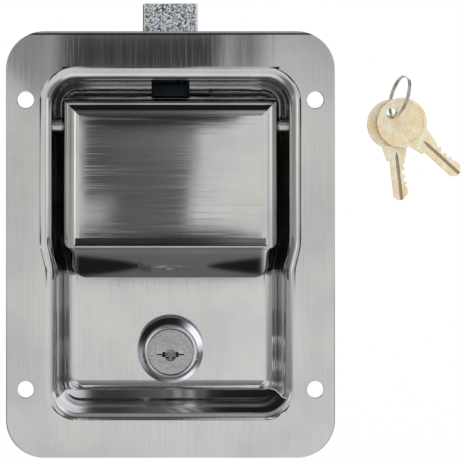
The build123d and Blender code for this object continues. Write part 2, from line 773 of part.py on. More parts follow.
plug_face = lock_face + plug_sink
plug_face_back = plug_face + plug_face_thickness
with BuildPart() as lock_housing:
    with BuildSketch(Plane.YZ):
        with BuildLine():
            Polyline(
                (lock_face, lock_height),
                (lock_face, lock_height + lock_face_diameter / 2),
                (barrel_front - lock_head_rim, lock_height + lock_head_diameter / 2),
                (barrel_front, lock_height + lock_head_diameter / 2),
                (barrel_front, lock_height),
                close=True,
            )
        make_face()
    revolve(axis=Axis((0, 0, lock_height), (0, 1, 0)))
    fillet(lock_housing.faces().sort_by(Axis.Y)[0].edges(), lock_head_edge_radius)
    extrude(barrel_outline(0, barrel_front), amount=barrel_end - barrel_front, dir=BACK)
    add(
        lock_disc(plug_face_diameter + 2 * plug_gap, lock_face, plug_sink + plug_face_thickness + plug_gap),
        mode=Mode.SUBTRACT,
    )
    add(
        lock_disc(plug_body_diameter + 2 * plug_gap, lock_face, barrel_end - lock_face),
        mode=Mode.SUBTRACT,
    )
    fillet(lock_housing.faces().sort_by(Axis.Y)[0].inner_wires()[0].edges(), plug_edge_radius)

tail_end = cam_back - seat_gap
with BuildPart() as lock_plug:
    add(lock_disc(plug_face_diameter, plug_face, plug_face_thickness))
    fillet(lock_plug.faces().sort_by(Axis.Y)[0].edges(), plug_edge_radius)
    add(lock_disc(plug_body_diameter, plug_face, barrel_end - plug_face))
    with BuildSketch(facing(barrel_end)):
        with Locations((0, lock_height)):
            Rectangle(plug_tail_width, plug_tail_width)
            Circle(plug_tail_round / 2, mode=Mode.INTERSECT)
    extrude(amount=tail_end - barrel_end, dir=BACK)
    # keyway with its flared mouth
    with BuildSketch(facing(plug_face)):
        with Locations((0, keyway_middle)):
            Rectangle(keyway_width, keyway_height)
    extrude(amount=keyway_depth, dir=BACK, mode=Mode.SUBTRACT)
    with BuildSketch(facing(plug_face)):
        with Locations((0, keyway_middle)):
            SlotOverall(keyway_slit_width, keyway_slit_height)
    extrude(amount=keyway_slit_depth, dir=BACK, mode=Mode.SUBTRACT)
    with BuildSketch(facing(plug_face)):
        with Locations((0, keyway_middle - keyway_cone_drop)):
            Circle(keyway_cone_diameter / 2)
    extrude(amount=keyway_height, dir=BACK, taper=keyway_cone_angle, mode=Mode.SUBTRACT)
    # slots that the wafers slide in
    for index in range(wafer_count):
        with BuildSketch(facing(plug_face_back + wafer_pitch * (index + 0.5))):
            with Locations((0, lock_height)):
                Rectangle(plug_body_diameter, wafer_width + 2 * seat_gap)
        extrude(amount=wafer_thickness + 2 * seat_gap, dir=BACK, mode=Mode.SUBTRACT)
    # hole for the cam screw
    with BuildSketch(facing(screw_seat - cam_screw_length - seat_gap)):
        with Locations((0, lock_height)):
            Circle(cam_screw_diameter / 2 + seat_gap)
    extrude(amount=cam_screw_length, dir=BACK, mode=Mode.SUBTRACT)

with BuildPart() as plug_wafers:
    for index in range(wafer_count):
        with BuildSketch(facing(plug_face_back + wafer_pitch * (index + 0.5) + seat_gap)):
            with Locations((0, lock_height)):
                Circle(plug_body_diameter / 2 - seat_gap)
                Rectangle(plug_body_diameter, wafer_width, mode=Mode.INTERSECT)
            with Locations((0, keyway_middle)):
                Rectangle(wafer_window_width, keyway_height, mode=Mode.SUBTRACT)
        extrude(amount=wafer_thickness, dir=BACK)

lock_washer_front = floor_back + seat_gap
lock_nut_front = lock_washer_front + lock_washer_thickness + seat_gap
with BuildPart() as lock_washer:
    add(lock_disc(lock_washer_diameter, lock_washer_front, lock_washer_thickness))
    extrude(
        barrel_outline(seat_gap, lock_washer_front),
        amount=lock_washer_thickness,
        dir=BACK,
        mode=Mode.SUBTRACT,
    )

with BuildPart() as lock_nut:
    with BuildSketch(facing(lock_nut_front)):
        with Locations((0, lock_height)):
            RegularPolygon(lock_nut_flats / 2, 6, major_radius=False)
            Circle(lock_barrel_diameter / 2 + seat_gap, mode=Mode.SUBTRACT)
    extrude(amount=lock_nut_thickness, dir=BACK)

with BuildPart() as stop_washer:
    with BuildSketch(facing(stop_washer_front)):
        with Locations((0, lock_height)):
            Circle(stop_washer_diameter / 2)
            Rectangle(plug_tail_width + 2 * seat_gap, plug_tail_width + 2 * seat_gap, mode=Mode.SUBTRACT)
        with Locations((-stop_washer_diameter / 2, lock_height)):
            Rectangle(2 * stop_lug_reach, stop_lug_width)
    extrude(amount=stop_washer_thickness, dir=BACK)

with BuildPart() as lock_cam:
    with BuildSketch(facing(cam_front)):
        with Locations((0, lock_height)):
            Circle(cam_hub_diameter / 2)
        with Locations((0, lock_height)):
            Rectangle(cam_length, cam_width, align=(Align.MAX, Align.CENTER))
        with Locations((0, lock_height)):
            Rectangle(plug_tail_width + 2 * seat_gap, plug_tail_width + 2 * seat_gap, mode=Mode.SUBTRACT)
    extrude(amount=cam_thickness, dir=BACK)
    tip = lock_cam.edges().filter_by(Axis.Y).group_by(Axis.X)[0]
    fillet(tip, cam_tip_radius)

with BuildPart() as spring_washer:
    with BuildSketch(facing(spring_washer_front)):
        with Locations((0, lock_height)):
            Circle(spring_washer_diameter / 2)
            Circle(cam_screw_diameter / 2 + seat_gap, mode=Mode.SUBTRACT)
    extrude(amount=spring_washer_thickness, dir=BACK)

with BuildPart() as cam_screw:
    add(lock_disc(cam_screw_head_diameter, screw_seat, cam_screw_head_height))
    fillet(cam_screw.faces().sort_by(Axis.Y)[-1].edges(), cam_screw_dome_radius)
    add(lock_disc(cam_screw_diameter, screw_seat - cam_screw_length, cam_screw_length))
    with BuildSketch(facing(screw_seat + cam_screw_head_height)):
        with Locations((0, lock_height)):
            Rectangle(cam_screw_cross, cam_screw_cross_width)
            Rectangle(cam_screw_cross_width, cam_screw_cross)
    extrude(amount=-cam_screw_cross_depth, dir=BACK, mode=Mode.SUBTRACT)


# ---------------------------------------------------------------- keys and their ring
lean = radians(ring_lean)
twist = radians(ring_twist)
# the ring's axis: nearly along X, turned about Z by the twist and tipped by the lean
ring_axis = Vector(cos(twist) * cos(lean), sin(twist) * cos(lean), -sin(lean))
ring_low = Vector(0, 0, -1) + ring_axis * ring_axis.Z
ring_down = ring_low.normalized()
ring_side = ring_axis.cross(ring_down)


def ring_crossing(depth):
    """Where the middle of the ring passes through a plane parallel to the panel, at its lower side."""
    centre = Vector(*ring_centre)
    # the ring's points are centre + radius * (down * cos(a) + side * sin(a))
    a = ring_radius * ring_down.Y
    b = ring_radius * ring_side.Y
    reach = depth - centre.Y
    size = sqrt(a**2 + b**2)
    angle = atan2(b, a) - acos(reach / size) if b > 0 else atan2(b, a) + acos(reach / size)
    return centre + (ring_down * cos(angle) + ring_side * sin(angle)) * ring_radius


def key_hole(depth):
    """The middle of the hole in a key whose front lies at a depth."""
    return ring_crossing(depth + key_thickness / 2) + Vector(0, 0, ring_hang)


front_key_depth = back_key_depth - key_thickness - key_gap


def key(depth, direction):
    """A cut key in a plane parallel to the panel, hung on the ring by its hole."""
    hole = key_hole(depth)
    turn = radians(direction)
    shoulder = key_hole_offset + key_shoulder
    tip = key_hole_offset + key_tip
    neck = key_hole_offset + sqrt((key_bow_diameter / 2) ** 2 - (key_neck_width / 2) ** 2)
    tip_start = tip - (key_blade_front - key_tip_width / 2)

    def key_plane(level):
        return Plane(
            origin=(hole.X, level, hole.Z),
            x_dir=(cos(turn), 0, sin(turn)),
            z_dir=(0, -1, 0),
        )

    with BuildPart() as blank:
        with BuildSketch(key_plane(depth)):
            with Locations((key_hole_offset, 0)):
                Circle(key_bow_diameter / 2)
            with BuildLine():
                Polyline(
                    (key_hole_offset, -key_blade_back),
                    (neck, -key_neck_width / 2),
                    (shoulder, -key_shoulder_width / 2),
                    (shoulder, -key_blade_back),
                    (tip - (key_blade_back - key_tip_width / 2), -key_blade_back),
                    (tip, -key_tip_width / 2),
                    (tip, key_tip_width / 2),
                    (tip_start, key_blade_front),
                    (shoulder, key_blade_front),
                    (shoulder, key_shoulder_width / 2),
                    (neck, key_neck_width / 2),
                    (key_hole_offset, key_blade_front),
                    close=True,
                )
            make_face()
            Circle(key_hole_diameter / 2, mode=Mode.SUBTRACT)
            for distance, cut in key_cuts:
                middle = shoulder + distance
                half = key_cut_flat / 2
                mouth = half + (cut + key_tip_width) * key_cut_slope
                with BuildLine():
                    Polyline(
                        (middle - half, key_blade_front - cut),
                        (middle + half, key_blade_front - cut),
                        (middle + mouth, key_blade_front + key_tip_width),
                        (middle - mouth, key_blade_front + key_tip_width),
                        close=True,
                    )
                make_face(mode=Mode.SUBTRACT)
        extrude(amount=key_thickness, dir=BACK)
        # coined face and milled groove on both sides
        for level in (depth, depth + key_thickness - key_bow_coining):
            with BuildSketch(key_plane(level)):
                with Locations((key_hole_offset, 0)):
                    Circle(key_bow_diameter / 2 - key_bow_rim)
            extrude(amount=key_bow_coining, dir=BACK, mode=Mode.SUBTRACT)
        for level in (depth, depth + key_thickness - key_groove_depth):
            with BuildSketch(key_plane(level)):
                with BuildLine():
                    Polyline(
                        (shoulder - 3 * key_groove_run, key_groove_offset),
                        (shoulder - key_groove_run, key_groove_offset + key_groove_width / 2),
                        (tip + key_tip_width, key_groove_offset + key_groove_width / 2),
                        (tip + key_tip_width, key_groove_offset - key_groove_width / 2),
                        (shoulder - key_groove_run, key_groove_offset - key_groove_width / 2),
                        close=True,
                    )
                make_face()
            extrude(amount=key_groove_depth, dir=BACK, mode=Mode.SUBTRACT)
    return blank.part


with BuildPart() as key_front:
    add(key(front_key_depth, front_key_direction))

with BuildPart() as key_back:
    add(key(back_key_depth, back_key_direction))

with BuildPart() as key_ring:
    add(
        coil_spring(
            Plane(
                origin=Vector(*ring_centre) - ring_axis * (ring_pitch * ring_turns / 2),
                x_dir=ring_down * -1,
                z_dir=ring_axis,
            ),
            ring_radius,
            ring_wire,
            ring_pitch,
            ring_turns,
        )
    )


# ---------------------------------------------------------------- names and files
nodes = {
    "pan": pan,
    "paddle": paddle,
    "paddle_arm": paddle_arm,
    "hinge_pin": hinge_pin,
    "push_nut": push_nut,
    "paddle_spring": paddle_spring,
    "bolt": bolt,
    "bolt_slide": bolt_slide,
    "slide_rivets": slide_rivets,
    "bolt_spring": bolt_spring,
    "bolt_bracket": bolt_bracket,
    "bracket_rivets": bracket_rivets,
    "lock_housing": lock_housing,
    "lock_washer": lock_washer,
    "lock_nut": lock_nut,
    "lock_plug": lock_plug,
    "plug_wafers": plug_wafers,
    "stop_washer": stop_washer,
    "lock_cam": lock_cam,
    "spring_washer": spring_washer,
    "cam_screw": cam_screw,
    "key_ring": key_ring,
    "key_front": key_front,
    "key_back": key_back,
}
os.makedirs("parts", exist_ok=True)
for name, node in nodes.items():
    node.part.label = name
    export_step(node.part, f"parts/{name}.step")
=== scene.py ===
"""Looks of the flush-mounted paddle latch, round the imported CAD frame. Lengths are in metres, except
where a comment says millimetres. Angles are in degrees."""

from math import asin, atan2, cos, degrees, exp, pi, radians, sin, tau

import bmesh
import bpy
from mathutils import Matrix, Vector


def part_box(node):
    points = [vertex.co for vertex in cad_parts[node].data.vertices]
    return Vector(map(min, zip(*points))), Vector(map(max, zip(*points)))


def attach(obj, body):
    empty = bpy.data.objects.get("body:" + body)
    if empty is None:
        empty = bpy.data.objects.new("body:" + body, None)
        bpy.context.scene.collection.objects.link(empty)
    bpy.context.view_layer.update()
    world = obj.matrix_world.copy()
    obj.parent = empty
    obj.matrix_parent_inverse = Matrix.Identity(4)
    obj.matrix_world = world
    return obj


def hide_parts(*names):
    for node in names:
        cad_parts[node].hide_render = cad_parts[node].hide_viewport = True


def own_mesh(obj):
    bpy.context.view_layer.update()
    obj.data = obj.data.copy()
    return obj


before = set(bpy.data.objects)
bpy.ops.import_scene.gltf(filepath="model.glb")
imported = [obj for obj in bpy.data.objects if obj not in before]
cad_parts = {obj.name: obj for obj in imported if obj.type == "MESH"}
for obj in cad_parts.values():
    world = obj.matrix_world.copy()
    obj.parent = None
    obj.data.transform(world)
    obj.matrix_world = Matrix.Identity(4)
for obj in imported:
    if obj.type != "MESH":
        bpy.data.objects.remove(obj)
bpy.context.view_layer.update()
MM = 0.001

# ------------------------------------------------------------------ camera
CAMERA_DISTANCE = 0.500  # from the flange's front
CAMERA_HEIGHT = 0.0146  # above the middle of the flange
SENSOR = 36.0
VIEW_WIDTH = 0.1515  # what the picture takes in across, at the flange
SHIFT_X = 0.131
SHIFT_Y = -0.067

camera_data = bpy.data.cameras.new("camera")
camera_data.sensor_width = SENSOR
camera_data.lens = SENSOR * CAMERA_DISTANCE / VIEW_WIDTH
camera_data.shift_x = SHIFT_X
camera_data.shift_y = SHIFT_Y
camera_data.clip_start = 0.01
camera = bpy.data.objects.new("camera", camera_data)
camera.location = (0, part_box("pan")[0].y - CAMERA_DISTANCE, CAMERA_HEIGHT)
camera.rotation_euler = (pi / 2, 0, 0)
bpy.context.collection.objects.link(camera)
bpy.context.scene.camera = camera
bpy.context.scene.view_settings.view_transform = "Standard"


# ------------------------------------------------------------------ helper for node trees
class Tree:
    """A short way to write a material's nodes."""

    SOCKETS = {
        "colour": "Base Color",
        "metal": "Metallic",
        "rough": "Roughness",
        "normal": "Normal",
        "anisotropic": "Anisotropic",
        "edge": "Specular Tint",
    }

    def __init__(self, name):
        self.material = bpy.data.materials.new(name)
        self.material.use_nodes = True
        self.nodes = self.material.node_tree.nodes
        self.links = self.material.node_tree.links
        self.shader = self.nodes["Principled BSDF"]
        self.place = self.add("ShaderNodeTexCoord").outputs["Object"]

    def add(self, kind, **values):
        node = self.nodes.new(kind)
        for key, value in values.items():
            setattr(node, key, value)
        return node

    def put(self, socket, value):
        """Set the socket to a number or a colour, or link it to another socket."""
        if isinstance(value, (int, float, tuple)):
            socket.default_value = value
        else:
            self.links.new(value, socket)

    def math(self, operation, a, b=0.0):
        node = self.add("ShaderNodeMath", operation=operation)
        self.put(node.inputs[0], a)
        self.put(node.inputs[1], b)
        return node.outputs[0]

    def product(self, first, *others):
        for other in others:
            first = self.math("MULTIPLY", first, other)
        return first

    def total(self, a, b):
        return self.math("ADD", a, b)

    def span(self, value, low, high, new_low=0.0, new_high=1.0, smooth=True):
        """value taken from low..high to new_low..new_high, and held there beyond."""
        node = self.add("ShaderNodeMapRange", interpolation_type="SMOOTHSTEP" if smooth else "LINEAR")
        self.put(node.inputs["Value"], value)
        for key, number in zip(("From Min", "From Max", "To Min", "To Max"), (low, high, new_low, new_high)):
            node.inputs[key].default_value = number
        return node.outputs[0]

    def within(self, value, rise, fall):
        """1 between two soft steps and 0 outside. Each step is where it starts and where it ends."""
        return self.product(self.span(value, *rise), self.span(value, *fall))

    def noise(self, scale, detail=2.0, rough=0.5, distortion=0.0):
        """Noise over the object, its scale in cells per metre, one number or one for each axis."""
        mapping = self.add("ShaderNodeMapping")
        mapping.inputs["Scale"].default_value = scale if isinstance(scale, tuple) else (scale,) * 3
        self.put(mapping.inputs["Vector"], self.place)
        node = self.add("ShaderNodeTexNoise")
        node.inputs["Scale"].default_value = 1.0
        node.inputs["Detail"].default_value = detail
        node.inputs["Roughness"].default_value = rough
        node.inputs["Distortion"].default_value = distortion
        self.put(node.inputs["Vector"], mapping.outputs[0])
        return node.outputs[0]

    def mix(self, factor, a, b, mode="MIX"):
        node = self.add("ShaderNodeMix", data_type="RGBA", blend_type=mode)
        self.put(node.inputs[0], factor)
        self.put(node.inputs[6], a)
        self.put(node.inputs[7], b)
        return node.outputs[2]

    def tinted(self, colour, factor):
        """colour multiplied by another colour or a grey."""
        return self.mix(1.0, colour, factor, "MULTIPLY")

    def mix_numbers(self, factor, a, b):
        node = self.add("ShaderNodeMix", data_type="FLOAT")
        self.put(node.inputs[0], factor)
        self.put(node.inputs[2], a)
        self.put(node.inputs[3], b)
        return node.outputs[0]

    def axis(self, socket, letter):
        node = self.add("ShaderNodeSeparateXYZ")
        self.put(node.inputs[0], socket)
        return node.outputs["XYZ".index(letter)]

    def position(self, letter):
        """One coordinate on the object, in millimetres."""
        return self.math("DIVIDE", self.axis(self.place, letter), MM)

    def geometry(self, output):
        return self.add("ShaderNodeNewGeometry").outputs[output]

    def bump(self, height, strength, distance, over=None):
        node = self.add("ShaderNodeBump")
        node.inputs["Strength"].default_value = strength
        node.inputs["Distance"].default_value = distance
        self.put(node.inputs["Height"], height)
        if over is not None:
            self.put(node.inputs["Normal"], over)
        return node.outputs[0]

    def grain(self, direction):
        """The direction across the brush lines, which reflections smear along."""
        node = self.add("ShaderNodeCombineXYZ")
        for socket, value in zip(node.inputs, direction):
            socket.default_value = value
        self.put(self.shader.inputs["Tangent"], node.outputs[0])

    def finish(self, **values):
        """Set the shader's sockets and return the material."""
        for key, value in values.items():
            self.put(self.shader.inputs[self.SOCKETS[key]], value)
        return self.material


def grey(value):
    return (value, value, value, 1)


def scaled(colour, factor):
    return tuple(part * factor for part in colour[:3]) + (1,)


# ------------------------------------------------------------------ finishes
STEEL = (0.68, 0.676, 0.670, 1)
STEEL_WARM = (0.73, 0.675, 0.60, 1)
STEEL_DULL = (0.52, 0.52, 0.522, 1)
LINE_FINE = 2700  # brush lines in a metre across them
LINE_LONG = 42  # and along them
BAND_SHARE = 0.33  # of the lines' scale, for the wider bands among them
LINE_BRUSHED = {"x": (LINE_LONG, LINE_FINE, LINE_FINE), "z": (LINE_FINE, LINE_FINE, LINE_LONG)}
ACROSS_LINES = {"x": (0, 0, 1), "z": (1, 0, 0)}
SHEET_ROUGH = 0.045  # between the brush lines


def brushed(name, along, lined, bends, depth, shaded_fold=None, sheared=None):
    """Brushed stainless sheet. along is the axis that the lines run along. They are rougher than the
    sheet between them, up to lined, and darker by depth. Bends and walls, which the belt doesn't reach,
    have the roughness bends. A fold, given as its lower and upper edge in millimetres, marks a bend whose
    downward-facing part is darkened with painted shade. sheared is the height of the sheet's upper edge,
    in millimetres: a near-black line of painted shade runs just below it, and a burr above that is rougher."""
    tree = Tree(name)
    scales = LINE_BRUSHED[along]
    lines = tree.noise(scales, detail=2.0, rough=0.6)
    bands = tree.noise(tuple(scale * BAND_SHARE for scale in scales))
    streaks = tree.total(tree.product(lines, 0.78), tree.product(bands, 0.22))
    cloud = tree.noise(38, detail=3.0, rough=0.55)
    warm = tree.noise((60, 60, 22))
    scuffs = tree.noise(900, detail=4.0, rough=0.7)
    flat = tree.span(tree.math("ABSOLUTE", tree.axis(tree.geometry("Normal"), "Y")), 0.90, 0.985)

    colour = tree.mix(tree.span(cloud, 0.38, 0.66, 0.0, 0.42), STEEL, STEEL_DULL)
    colour = tree.mix(tree.span(warm, 0.58, 0.78, 0.0, 0.35), colour, STEEL_WARM)
    shade = tree.span(streaks, 0.38, 0.62, 1.0 - depth, 1.0, smooth=False)
    colour = tree.tinted(colour, tree.mix(flat, grey(1), shade))
    smooth = tree.span(scuffs, 0.3, 0.75, bends * 0.8, bends * 1.25)
    rubbed = tree.span(streaks, 0.49, 0.70, SHEET_ROUGH, lined, smooth=False)
    rough = tree.mix_numbers(flat, smooth, rubbed)
    height = tree.position("Z")
    # painted shade: the bend between the fold's edges is darkened where it faces down
    if shaded_fold:
        bottom, top = shaded_fold
        bend = tree.within(height, (bottom - 0.3, bottom), (top, top - 0.5))
        down = tree.span(tree.axis(tree.geometry("Normal"), "Z"), -0.02, -0.12)
        colour = tree.mix(tree.product(bend, down), colour, tree.tinted(colour, (0.70, 0.70, 0.71, 1)))
    # painted shade: a near-black line just below the upper edge; the burr above it only adds roughness
    if sheared:
        burr = tree.span(height, sheared - 0.75, sheared - 0.6)
        line = tree.product(tree.span(height, sheared - 1.3, sheared - 1.1), tree.math("SUBTRACT", 1.0, burr))
        colour = tree.mix(line, colour, grey(0.02))
        rough = tree.total(rough, tree.product(burr, 0.4))
    normal = tree.bump(tree.product(streaks, flat), 0.016, 0.00003)
    normal = tree.bump(tree.noise(110), 0.022, 0.00025, over=normal)
    tree.grain(ACROSS_LINES[along])
    return tree.finish(colour=colour, metal=1.0, rough=rough, normal=normal, anisotropic=0.2)


def zinc(name, colour, dull, rough, edge=grey(1)):
    """Zinc-plated mild steel with duller blotches. edge tints what it reflects at a flat angle."""
    tree = Tree(name)
    specks = tree.noise(900, detail=3.0, rough=0.6)
    blotches = tree.noise(70, detail=4.0, rough=0.6)
    base = tree.mix(tree.span(blotches, 0.38, 0.68, 0.0, 0.8), colour, dull)
    base = tree.tinted(base, tree.span(specks, 0.3, 0.7, 0.85, 1.0))
    spread = tree.total(
        tree.span(blotches, 0.3, 0.7, rough * 0.8, rough * 1.2), tree.span(specks, 0.3, 0.7, -0.03, 0.03)
    )
    normal = tree.bump(specks, 0.25, 0.00004)
    return tree.finish(colour=base, metal=1.0, rough=spread, normal=normal, edge=edge)


def sintered(name):
    """Powder-metal bolt, tumbled and zinc plated: coarse sparkling grain, with painted shade along its left
    edge, a painted warm highlight line beside it and a painted pale bluish highlight along its right edge."""
    tree = Tree(name)
    left, right = (corner.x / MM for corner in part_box("bolt"))
    grains = tree.noise(1900, detail=1.5, rough=0.6)
    cells = tree.add("ShaderNodeTexVoronoi")
    cells.inputs["Scale"].default_value = 2600
    tree.put(cells.inputs["Vector"], tree.place)
    sparkle = tree.axis(cells.outputs["Color"], "X")
    tone = tree.total(tree.product(sparkle, 0.55), tree.product(tree.span(grains, 0.42, 0.58), 0.45))
    colour = tree.mix(tree.span(tone, 0.20, 0.80), (0.075, 0.085, 0.10, 1), (0.95, 0.98, 1.0, 1))
    hue = tree.span(tree.noise(900), 0.45, 0.62)
    colour = tree.tinted(colour, tree.mix(hue, (0.93, 0.98, 1.0, 1), (1.0, 0.97, 0.93, 1)))
    across = tree.position("X")
    # painted highlight: a warm line just inside the left edge
    warm = tree.within(across, (left + 0.3, left + 0.5), (left + 1.1, left + 0.8))
    colour = tree.mix(tree.product(warm, 0.5), colour, (0.95, 0.86, 0.72, 1))
    # painted shade along the left edge
    colour = tree.mix(tree.span(across, left + 0.45, left + 0.25), colour, (0.10, 0.10, 0.11, 1))
    # painted highlight: pale bluish along the right edge
    colour = tree.mix(tree.span(across, right - 1.1, right - 0.6, 0.0, 0.85), colour, (0.86, 0.91, 1.0, 1))
    normal = tree.bump(tree.total(grains, tree.product(sparkle, 0.5)), 0.55, 0.00012)
    return tree.finish(colour=colour, metal=0.35, rough=tree.span(tone, 0.0, 1.0, 0.55, 0.34), normal=normal)


def polished(name, colour, rough):
    """Bright plated metal with faint swirls and smears."""
    tree = Tree(name)
    haze = 0.05  # what the smears add to the roughness
    smear = tree.noise(160, detail=4.0, rough=0.6, distortion=0.6)
    fine = tree.noise(2400)
    base = tree.mix(tree.span(smear, 0.4, 0.75, 0.0, 0.5), colour, scaled(colour, 0.82))
    spread = tree.total(
        tree.span(smear, 0.35, 0.75, rough, rough + haze), tree.span(fine, 0.3, 0.7, 0.0, haze * 0.4)
    )
    return tree.finish(colour=base, metal=1.0, rough=spread, normal=tree.bump(smear, 0.06, 0.0002))


def satin(name, colour, rough, contrast):
    """Fine matt plated metal with an even grain."""
    tree = Tree(name)
    fine = tree.noise(2200, detail=3.0, rough=0.65)
    wide = tree.noise(264)
    base = tree.tinted(colour, tree.span(fine, 0.32, 0.68, 1.0 - contrast, 1.0))
    base = tree.mix(tree.span(wide, 0.4, 0.7, 0.0, 0.3), base, scaled(colour, 0.8))
    spread = tree.span(fine, 0.3, 0.7, rough * 0.85, rough * 1.2)
    return tree.finish(colour=base, metal=1.0, rough=spread, normal=tree.bump(fine, 0.25, 0.00005))


def plug_finish(name):
    """Satin plug face with scratches and a beige band round its keyway, near-black painted shade in its slit
    and a polished cone.
    """
    tree = Tree(name)
    low, high = (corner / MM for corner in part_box("lock_plug"))
    face, middle = low.y, (low.z + high.z) / 2
    fine = tree.noise(1700, detail=3.0, rough=0.65)
    smears = tree.noise((260, 260, 700), detail=3.0, rough=0.6)
    base = tree.mix(tree.span(fine, 0.32, 0.68), grey(0.34), (0.62, 0.62, 0.615, 1))
    base = tree.mix(tree.span(smears, 0.50, 0.64, 0.0, 0.55), base, (0.36, 0.36, 0.365, 1))
    across, depth, height = (tree.position(letter) for letter in "XYZ")
    band = tree.within(tree.math("ABSOLUTE", across), (2.1, 2.5), (4.8, 4.3))
    upper = tree.within(height, (middle - 0.75, middle - 0.6), (middle + 0.5, middle + 0.1))
    base = tree.mix(tree.product(band, upper, 0.7), base, (0.66, 0.58, 0.46, 1))
    # painted shade: near black deep in the slit and keyway, outside the cone
    deep = tree.span(depth, face + 0.08, face + 0.25)
    drop = tree.math("SUBTRACT", height, middle - 1.25)
    cone = tree.span(tree.total(tree.product(across, across), tree.product(drop, drop)), 4.4, 3.6)
    base = tree.mix(tree.product(deep, tree.math("SUBTRACT", 1.0, cone)), base, (0.012, 0.012, 0.013, 1))
    polish = tree.product(deep, cone)
    base = tree.mix(polish, base, grey(0.74))
    rough = tree.math("SUBTRACT", tree.span(fine, 0.3, 0.7, 0.25, 0.36), tree.product(polish, 0.18))
    return tree.finish(colour=base, metal=1.0, rough=rough, normal=tree.bump(fine, 0.4, 0.00005))


def key_finish(name, node):
    """Nickel-brass key blank, rumbled, with brighter rubbed places and painted brown shade in its concave
    places. The milled groove and the sheared edges behind its front are darkened with painted shade."""
    tree = Tree(name)
    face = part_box(node)[0].y / MM
    fine = tree.noise(1500, detail=3.0, rough=0.6)
    rubbed = tree.noise(220, detail=3.0, rough=0.6)
    base = tree.mix(tree.span(rubbed, 0.35, 0.7), (0.98, 0.78, 0.48, 1), (1.0, 0.95, 0.74, 1))
    base = tree.tinted(base, tree.span(fine, 0.3, 0.7, 0.84, 1.0))
    # painted shade: brown in the concave places, found by pointiness
    hollow_shade = tree.span(tree.geometry("Pointiness"), 0.50, 0.40, 0.0, 0.75)
    base = tree.mix(hollow_shade, base, (0.26, 0.17, 0.09, 1))
    # painted shade over the milled groove and the edges, from 0.22 to 1.38 mm behind the key's front
    groove_and_edge_shade = tree.within(tree.position("Y"), (face + 0.22, face + 0.42, 0.0, 0.75), (face + 1.38, face + 1.18))
    base = tree.mix(groove_and_edge_shade, base, (0.20, 0.15, 0.10, 1))
    normal = tree.bump(rubbed, 0.2, 0.0001)
    normal = tree.bump(fine, 0.18, 0.00003, over=normal)
    return tree.finish(colour=base, metal=0.2, rough=tree.span(rubbed, 0.3, 0.7, 0.36, 0.22), normal=normal)


materials = {
    "stainless_flange": brushed("stainless_flange", "z", lined=0.15, bends=0.13, depth=0.06, sheared=70.0),
    "stainless_paddle": brushed("stainless_paddle", "x", lined=0.17, bends=0.06, depth=0.05, shaded_fold=(-1.9, 0.9)),
    "zinc_steel": zinc("zinc_steel", (0.60, 0.63, 0.66, 1), (0.44, 0.47, 0.51, 1), 0.30),
    # zinc-plated steel painted near black as the shade that the paddle's arm and the bolt slide sit in
    "zinc_in_painted_shade": zinc(
        "zinc_in_painted_shade", (0.030, 0.042, 0.055, 1), (0.015, 0.02, 0.028, 1), 0.26, edge=(0.12, 0.16, 0.2, 1)
    ),
    "nut_zinc": zinc("nut_zinc", (0.62, 0.60, 0.52, 1), (0.50, 0.47, 0.38, 1), 0.33),
    "pin_steel": satin("pin_steel", (0.60, 0.59, 0.57, 1), 0.24, contrast=0.10),
    "spring_steel": satin("spring_steel", (0.42, 0.41, 0.40, 1), 0.28, contrast=0.20),
    "sintered_steel": sintered("sintered_steel"),
    "lock_chrome": polished("lock_chrome", (0.74, 0.75, 0.77, 1), 0.07),
    "plug_satin": plug_finish("plug_satin"),
    "wafer_brass": satin("wafer_brass", (0.46, 0.41, 0.33, 1), 0.34, contrast=0.16),
    "key_metal_front": key_finish("key_metal_front", "key_front"),
    "key_metal_back": key_finish("key_metal_back", "key_back"),
    "ring_steel": polished("ring_steel", (0.72, 0.68, 0.62, 1), 0.10),
}

MATERIAL_OF = {
    "pan": "stainless_flange",
    "paddle": "stainless_paddle",
    "paddle_arm": "zinc_in_painted_shade",
    "hinge_pin": "pin_steel",
    "push_nut": "spring_steel",
    "paddle_spring": "spring_steel",
    "bolt": "sintered_steel",
    "bolt_slide": "zinc_in_painted_shade",
    "slide_rivets": "pin_steel",
    "bolt_spring": "spring_steel",
    "bolt_bracket": "zinc_steel",
    "bracket_rivets": "pin_steel",
    "lock_housing": "lock_chrome",
    "lock_washer": "zinc_steel",
    "lock_nut": "nut_zinc",
    "lock_plug": "plug_satin",
    "plug_wafers": "wafer_brass",
    "stop_washer": "zinc_steel",
    "lock_cam": "zinc_steel",
    "spring_washer": "spring_steel",
    "cam_screw": "nut_zinc",
    "key_ring": "ring_steel",
    "key_front": "key_metal_front",
    "key_back": "key_metal_back",
}
for name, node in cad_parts.items():
    node.data.materials.clear()
    node.data.materials.append(materials[MATERIAL_OF[name]])

# ------------------------------------------------------------------ bolt spring, a coil at rest in place of the CAD spring; the slide doesn't close it up
SPRING_TURNS = 11
SPRING_WIRE = 1.0 * MM
STEPS_PER_TURN = 40
END_CROWDING = 0.028125  # how far the turns near both ends lie closer together, as a share of the length

